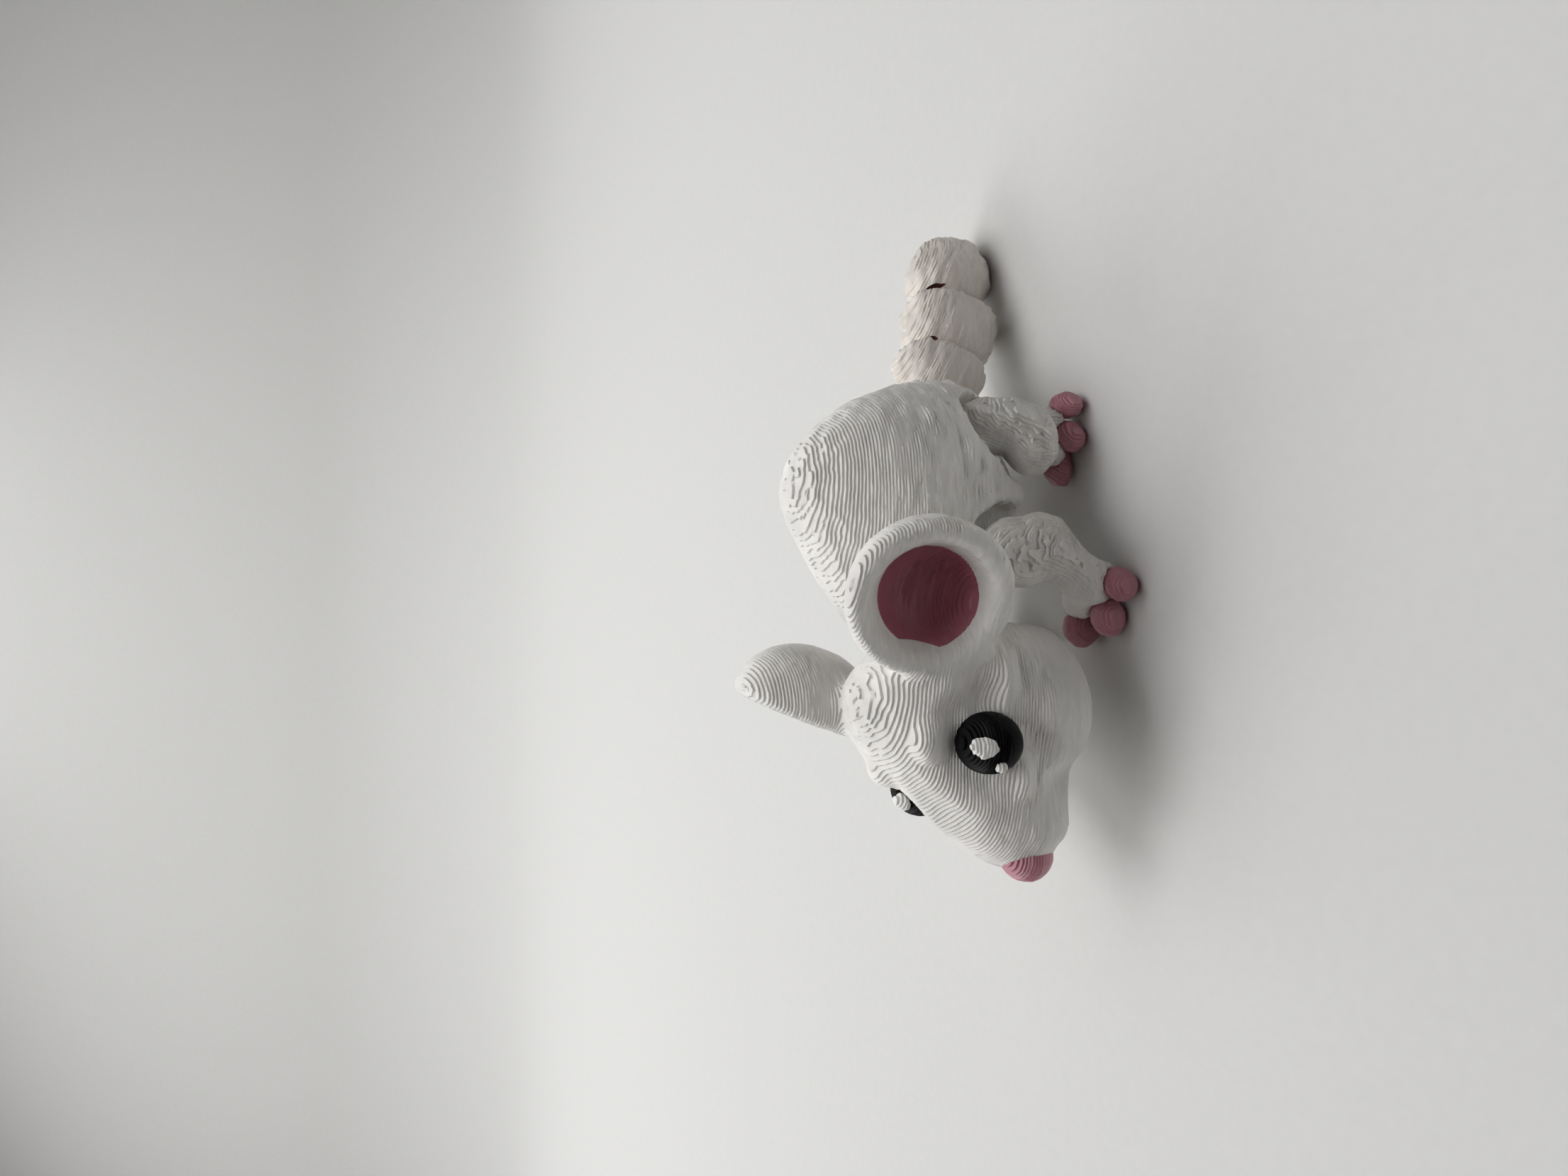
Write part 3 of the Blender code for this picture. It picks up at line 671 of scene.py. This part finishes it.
def shape_trunk(point, normal):
    """Shallow strokes of fur along the flanks, an uneven back and fuller lobes between the legs."""
    low = 1.0 - ramp(point.z, 8.5, 15.5)
    wall = 1.0 - abs(normal.z)
    flow = Vector((point.x * 0.5, point.y * 0.4, point.z * 1.5 + point.y * 0.12))
    strokes = noise.noise(flow) + 0.7 * noise.noise(flow * 2.1)
    rough = ramp(normal.z, 0.5, 0.95)
    depth = (0.04 + 0.2 * low * wall) * strokes
    depth += (0.03 + 0.12 * rough) * noise.noise(point * 0.9)
    depth += (0.012 + 0.10 * rough) * noise.noise(point * 2.1)
    depth += 0.5 * mound((abs(point.x), point.y, point.z), (4.9, -0.3, 4.8), (1.5, 1.3, 1.3))
    return depth


def calm_trunk(points, normals):
    """The strands blur into the fur low on the flanks."""
    x, y, z = points.T
    fade = np.clip((16.0 - z) / 7.0, 0.0, 1.0)
    dash = (np.sin(1.9 * y + 2.3 * np.sin(2.9 * z) + 0.8 * x)
            * np.sin(7.5 * z + 1.6 * np.sin(0.9 * y + 0.5 * x)))
    return np.clip(1.0 - 0.45 * fade + 0.9 * fade * dash, 0.1, 1.4)


def make_trunk(settings):
    trunk = melted("trunk_print", ["trunk"], voxel=0.3, passes=3, swell=0.0, regain=0.04)
    carve(trunk, shape_trunk)
    lay_down(trunk, settings, seed=5, calm=calm_trunk)
    finish_piece(trunk, "trunk", "white_plastic", "white", "trunk")


# ---------------------------------------------------------------- the legs

def shape_leg(point, normal):
    """Ragged terraces on the outer face only, and a thigh that hangs over the hind toes."""
    outer = ramp(abs(normal.x), 0.6, 0.9)
    depth = (0.02 + 0.2 * outer) * noise.noise(point * 0.8)
    depth += (0.015 + 0.15 * outer) * noise.noise(point * 2.0)
    depth += 0.07 * outer * noise.noise(point * 3.7)
    return depth + 0.4 * mound((abs(point.x), point.y, point.z), (6.6, 2.7, 3.1), (1.8, 3.2, 1.0))


def calm_leg(points, normals):
    """Only the outer face shows its layers, and the paw less than the leg."""
    outer = 0.25 + 0.75 * np.clip((np.abs(normals[:, 0]) - 0.35) / 0.4, 0.0, 1.0)
    return outer * np.clip((points[:, 2] - 2.6) / 1.2, 0.35, 1.0)


def make_leg(place, side, settings):
    name = f"leg_{place}_{side}"
    axis = JOINTS[("shoulder_" if place == "front" else "hip_") + side]["axis"]
    skin = melted(name + "_print", [name], voxel=0.2, passes=3, swell=0.05, regain=0.03)
    carve(skin, shape_leg)
    lay_down(skin, settings, axis, seed=7, strand=1.8, lipped=True, calm=calm_leg)
    for number in (1, 2, 3):
        toe = f"toe_{place}_{side}_{number}"
        piece = melted(toe + "_print", [toe], voxel=0.11, passes=3, swell=0.06, regain=0.02)
        if place == "hind" and number == 3:
            # the outer hind toe is longer than its solid
            stretch(piece, (1.0, 1.5, 1.0), (0.0, 0.62, 0.0))
        lay_down(piece, settings, axis, seed=8, strand=1.1)
        combined(skin, piece, "DIFFERENCE")
        finish_piece(piece, name, "pink_plastic", "pink", toe)
    finish_piece(skin, name, "white_plastic", "white", name)


# ---------------------------------------------------------------- the tail

# how far the layers of each link slope back, in degrees
TAIL_TILTS = (30.0, 24.0, 26.0)
# how far back the rims of links 1 and 2 reach, in millimetres
RIMS = (12.3, 16.6)
# the middle of the left gap behind each of these rims, and half the size of a gap
SLITS = (Vector((1.6, 12.72, 6.6)), Vector((1.75, 16.98, 5.2)))
SLIT_SIZE = Vector((1.1, 0.22, 0.72))


def shape_tail(number, point):
    """Wrinkles that run back and down along a link, its proud rim and its sunken neck."""
    x, y, z = point
    flow = Vector((x * 0.6, (0.9 * y - 0.42 * z) * 0.5, (0.9 * z + 0.42 * y) * 1.8))
    depth = 0.13 * noise.noise(flow) + 0.09 * noise.noise(flow * 2.0)
    if number < 3:
        depth += 0.16 * ramp(y, RIMS[number - 1] - 1.8, RIMS[number - 1])
    if number > 1:
        rim = RIMS[number - 2]
        depth -= 0.2 * (1.0 - ramp(y, rim + 0.3, rim + 1.8))
    return depth


def calm_tail(points, normals):
    """The strands of the tail break up into short strokes."""
    x, y, z = points.T
    along, across = 0.9 * y - 0.42 * z, 0.9 * z + 0.42 * y
    stroke = (np.sin(2.5 * along + 2.0 * np.sin(3.7 * across) + x)
              * np.sin(11.0 * across + 1.5 * np.sin(1.6 * along)))
    return np.clip(0.4 + 0.9 * stroke, 0.05, 1.3)


def cut_slits(link, place):
    """A deep narrow gap on each side, behind the rim of the link before."""
    for sign in (1.0, -1.0):
        deselect()
        bpy.ops.mesh.primitive_uv_sphere_add(segments=24, ring_count=12, radius=MM, scale=SLIT_SIZE,
                                             location=Vector((sign * place.x, place.y, place.z)) * MM)
        cutter = bpy.context.object
        bpy.ops.object.transform_apply(location=True, rotation=True, scale=True)
        combined(link, cutter, "DIFFERENCE")
        remove(cutter)


def paint_slit_shadow(link, place):
    """Paints shade into the gaps: their inside faces get a dark brown, a painted shadow."""
    link.data.materials.append(plastic("gap"))
    for face in link.data.polygons:
        x, y, z = face.center / MM
        away = Vector((abs(x), y, z)) - place
        if Vector(a / size for a, size in zip(away, SLIT_SIZE)).length < 1.01:
            face.material_index = 1


def make_tail_link(number, settings):
    """Each link was printed level and hangs from the one before, so its layers slope back."""
    node = f"tail_{number}"
    tilt = math.radians(TAIL_TILTS[number - 1])
    link = melted(node + "_print", [node], voxel=0.2, passes=2, swell=0.0, regain=0.02)
    carve(link, lambda point, normal: shape_tail(number, point))
    lay_down(link, settings, (0.0, math.sin(tilt), math.cos(tilt)), seed=11 + number, calm=calm_tail)
    if number > 1:
        cut_slits(link, SLITS[number - 2])
    finish_piece(link, f"tail_link_{number}", "tail_plastic", "tail", node)
    if number > 1:
        paint_slit_shadow(link, SLITS[number - 2])


# ---------------------------------------------------------------- stage

def make_floor():
    """A sheet of matt pale card, with a faint fibre, that lies flat and sweeps up behind the toy."""
    behind = Vector((-math.cos(VIEW_TURN), math.sin(VIEW_TURN), 0.0))
    width, bend, radius, height = 1.4, 0.20, 0.06, 0.4
    slope = math.radians(72.0)
    deselect()
    bpy.ops.mesh.primitive_plane_add(size=width, location=behind * (bend - width / 2),
                                     rotation=(0.0, 0.0, math.pi - VIEW_TURN))
    floor = bpy.context.object
    floor.name = "floor"
    for vertex in floor.data.vertices:
        vertex.select = vertex.co.x > 0.0
    for edge in floor.data.edges:
        edge.select = all(floor.data.vertices[i].select for i in edge.vertices)
    floor.data.polygons[0].select = False
    bpy.ops.object.mode_set(mode="EDIT")
    bpy.ops.mesh.select_mode(type="EDGE")
    bpy.ops.mesh.spin(steps=16, angle=-slope, center=behind * bend + Vector((0.0, 0.0, radius)),
                      axis=(math.sin(VIEW_TURN), math.cos(VIEW_TURN), 0.0))
    rise = behind * math.cos(slope) + Vector((0.0, 0.0, math.sin(slope)))
    bpy.ops.mesh.extrude_region_move(TRANSFORM_OT_translate={"value": rise * height})
    bpy.ops.object.mode_set(mode="OBJECT")
    bpy.ops.object.shade_smooth()
    colour = bpy.context.scene.mouse_colour.card
    material = bpy.data.materials.new("matt_pale_card")
    material.use_nodes = True
    tree = material.node_tree
    shader = tree.nodes["Principled BSDF"]
    place = add_node(tree, "ShaderNodeTexCoord")
    fibre = add_node(tree, "ShaderNodeTexNoise", {
        "Vector": place.outputs["Object"], "Scale": 1.0 / (0.8 * MM), "Detail": 4.0})
    tint = add_node(tree, "ShaderNodeMix", {
        0: fibre.outputs[0], 6: scaled(colour, 0.97), 7: scaled(colour, 1.03)}, data_type="RGBA")
    bump = add_node(tree, "ShaderNodeBump", {
        "Height": fibre.outputs[0], "Strength": 0.3, "Distance": 0.05 * MM})
    tree.links.new(tint.outputs[2], shader.inputs["Base Color"])
    tree.links.new(bump.outputs[0], shader.inputs["Normal"])
    shader.inputs["Roughness"].default_value = 0.85
    floor.data.materials.append(material)


def add_area_light(name, energy, bearing, height, distance=0.3, size=0.2, spread=180.0, aim=(0, 0, 0)):
    """A round soft box that looks at a point from a bearing and a height, both in degrees.

    energy is in watts, and distance, size and aim are in metres.
    """
    light = bpy.data.lights.new(name, "AREA")
    light.energy = energy
    light.shape = "DISK"
    light.size = size
    light.spread = math.radians(spread)
    obj = bpy.data.objects.new(name, light)
    bpy.context.scene.collection.objects.link(obj)
    turn, rise = math.radians(bearing), math.radians(height)
    away = Vector((math.cos(turn) * math.cos(rise), math.sin(turn) * math.cos(rise), math.sin(rise)))
    obj.location = Vector(aim) + away * distance
    obj.rotation_euler = (-away).to_track_quat("-Z", "Y").to_euler()


def make_lights():
    """Soft light from above and behind, and next to none from the front."""
    world = bpy.data.worlds.new("studio")
    world.use_nodes = True
    background = world.node_tree.nodes["Background"]
    background.inputs["Color"].default_value = (1.0, 0.75, 0.76, 1.0)
    background.inputs["Strength"].default_value = 0.025
    bpy.context.scene.world = world
    bpy.context.scene.view_settings.view_transform = "Standard"
    add_area_light("overhead", 0.30, 165.0, 84.0)
    add_area_light("behind", 0.13, 158.0, 42.0)
    add_area_light("behind_head", 0.30, 210.0, 40.0)
    add_area_light("behind_tail", 0.17, 90.0, 57.0)
    add_area_light("above_face", 0.07, 300.0, 62.0)
    add_area_light("card", 0.16, -22.0, 50.0, distance=0.40, size=0.40, spread=150.0,
                   aim=(-0.25, 0.10, 0.10))


def make_camera():
    """The toy is seen from its front left, from a little above, with the camera on its side."""
    data = bpy.data.cameras.new("camera")
    data.sensor_width = SENSOR_WIDTH
    data.lens = LENS
    data.clip_start = 0.001
    camera = bpy.data.objects.new("camera", data)
    bpy.context.scene.collection.objects.link(camera)
    level = Vector((math.sin(VIEW_TURN), math.cos(VIEW_TURN), 0.0))
    flat = math.cos(VIEW_TILT)
    ahead = Vector((-math.cos(VIEW_TURN) * flat, math.sin(VIEW_TURN) * flat, -math.sin(VIEW_TILT)))
    down = ahead.cross(level)
    if down.z > 0.0:
        down = -down
    turn = Matrix((down, level, -ahead)).transposed().to_4x4()
    camera.matrix_world = Matrix.Translation(CAMERA_PLACE) @ turn
    bpy.context.scene.camera = camera


# ---------------------------------------------------------------- operators

class MOUSE_OT_head(bpy.types.Operator):
    """Prints the head with its ears, nose, eyes and ear linings"""
    bl_idname = "mouse.head"
    bl_label = "Print Head"
    bl_options = {"REGISTER", "UNDO"}

    def execute(self, context):
        make_head(context.scene.mouse_print)
        return {"FINISHED"}


class MOUSE_OT_glints(bpy.types.Operator):
    """Prints the raised white glints of the eyes"""
    bl_idname = "mouse.glints"
    bl_label = "Print Glints"
    bl_options = {"REGISTER", "UNDO"}

    def execute(self, context):
        make_glints(context.scene.mouse_print)
        return {"FINISHED"}


class MOUSE_OT_trunk(bpy.types.Operator):
    """Prints the trunk"""
    bl_idname = "mouse.trunk"
    bl_label = "Print Trunk"
    bl_options = {"REGISTER", "UNDO"}

    def execute(self, context):
        make_trunk(context.scene.mouse_print)
        return {"FINISHED"}


class MOUSE_OT_legs(bpy.types.Operator):
    """Prints the legs with their toes"""
    bl_idname = "mouse.legs"
    bl_label = "Print Legs"
    bl_options = {"REGISTER", "UNDO"}

    def execute(self, context):
        for place in ("front", "hind"):
            for side in SIDES:
                make_leg(place, side, context.scene.mouse_print)
        return {"FINISHED"}


class MOUSE_OT_tail(bpy.types.Operator):
    """Prints the links of the tail"""
    bl_idname = "mouse.tail"
    bl_label = "Print Tail"
    bl_options = {"REGISTER", "UNDO"}

    def execute(self, context):
        for number in (1, 2, 3):
            make_tail_link(number, context.scene.mouse_print)
        return {"FINISHED"}


class MOUSE_OT_stage(bpy.types.Operator):
    """Sets up the floor, the lights and the camera"""
    bl_idname = "mouse.stage"
    bl_label = "Set Up Stage"
    bl_options = {"REGISTER", "UNDO"}

    def execute(self, context):
        make_floor()
        make_lights()
        make_camera()
        return {"FINISHED"}


class MOUSE_PT_panel(bpy.types.Panel):
    """Lists the settings and the steps"""
    bl_idname = "MOUSE_PT_panel"
    bl_label = "Printed Mouse"
    bl_space_type = "VIEW_3D"
    bl_region_type = "UI"
    bl_category = "Mouse"

    def draw(self, context):
        for group in (context.scene.mouse_print, context.scene.mouse_colour):
            for name in type(group).__annotations__:
                self.layout.prop(group, name)
        for operator in OPERATORS:
            self.layout.operator(operator.bl_idname)


OPERATORS = (MOUSE_OT_head, MOUSE_OT_glints, MOUSE_OT_trunk, MOUSE_OT_legs, MOUSE_OT_tail, MOUSE_OT_stage)
CLASSES = (PrintSettings, ColourSettings, *OPERATORS, MOUSE_PT_panel)


def register():
    for item in CLASSES:
        bpy.utils.register_class(item)
    bpy.types.Scene.mouse_print = PointerProperty(type=PrintSettings)
    bpy.types.Scene.mouse_colour = PointerProperty(type=ColourSettings)


def unregister():
    del bpy.types.Scene.mouse_colour
    del bpy.types.Scene.mouse_print
    for item in reversed(CLASSES):
        bpy.utils.unregister_class(item)


def main():
    register()
    bpy.ops.mouse.head()
    bpy.ops.mouse.glints()
    bpy.ops.mouse.trunk()
    bpy.ops.mouse.legs()
    bpy.ops.mouse.tail()
    bpy.ops.mouse.stage()


if __name__ == "__main__":
    main()
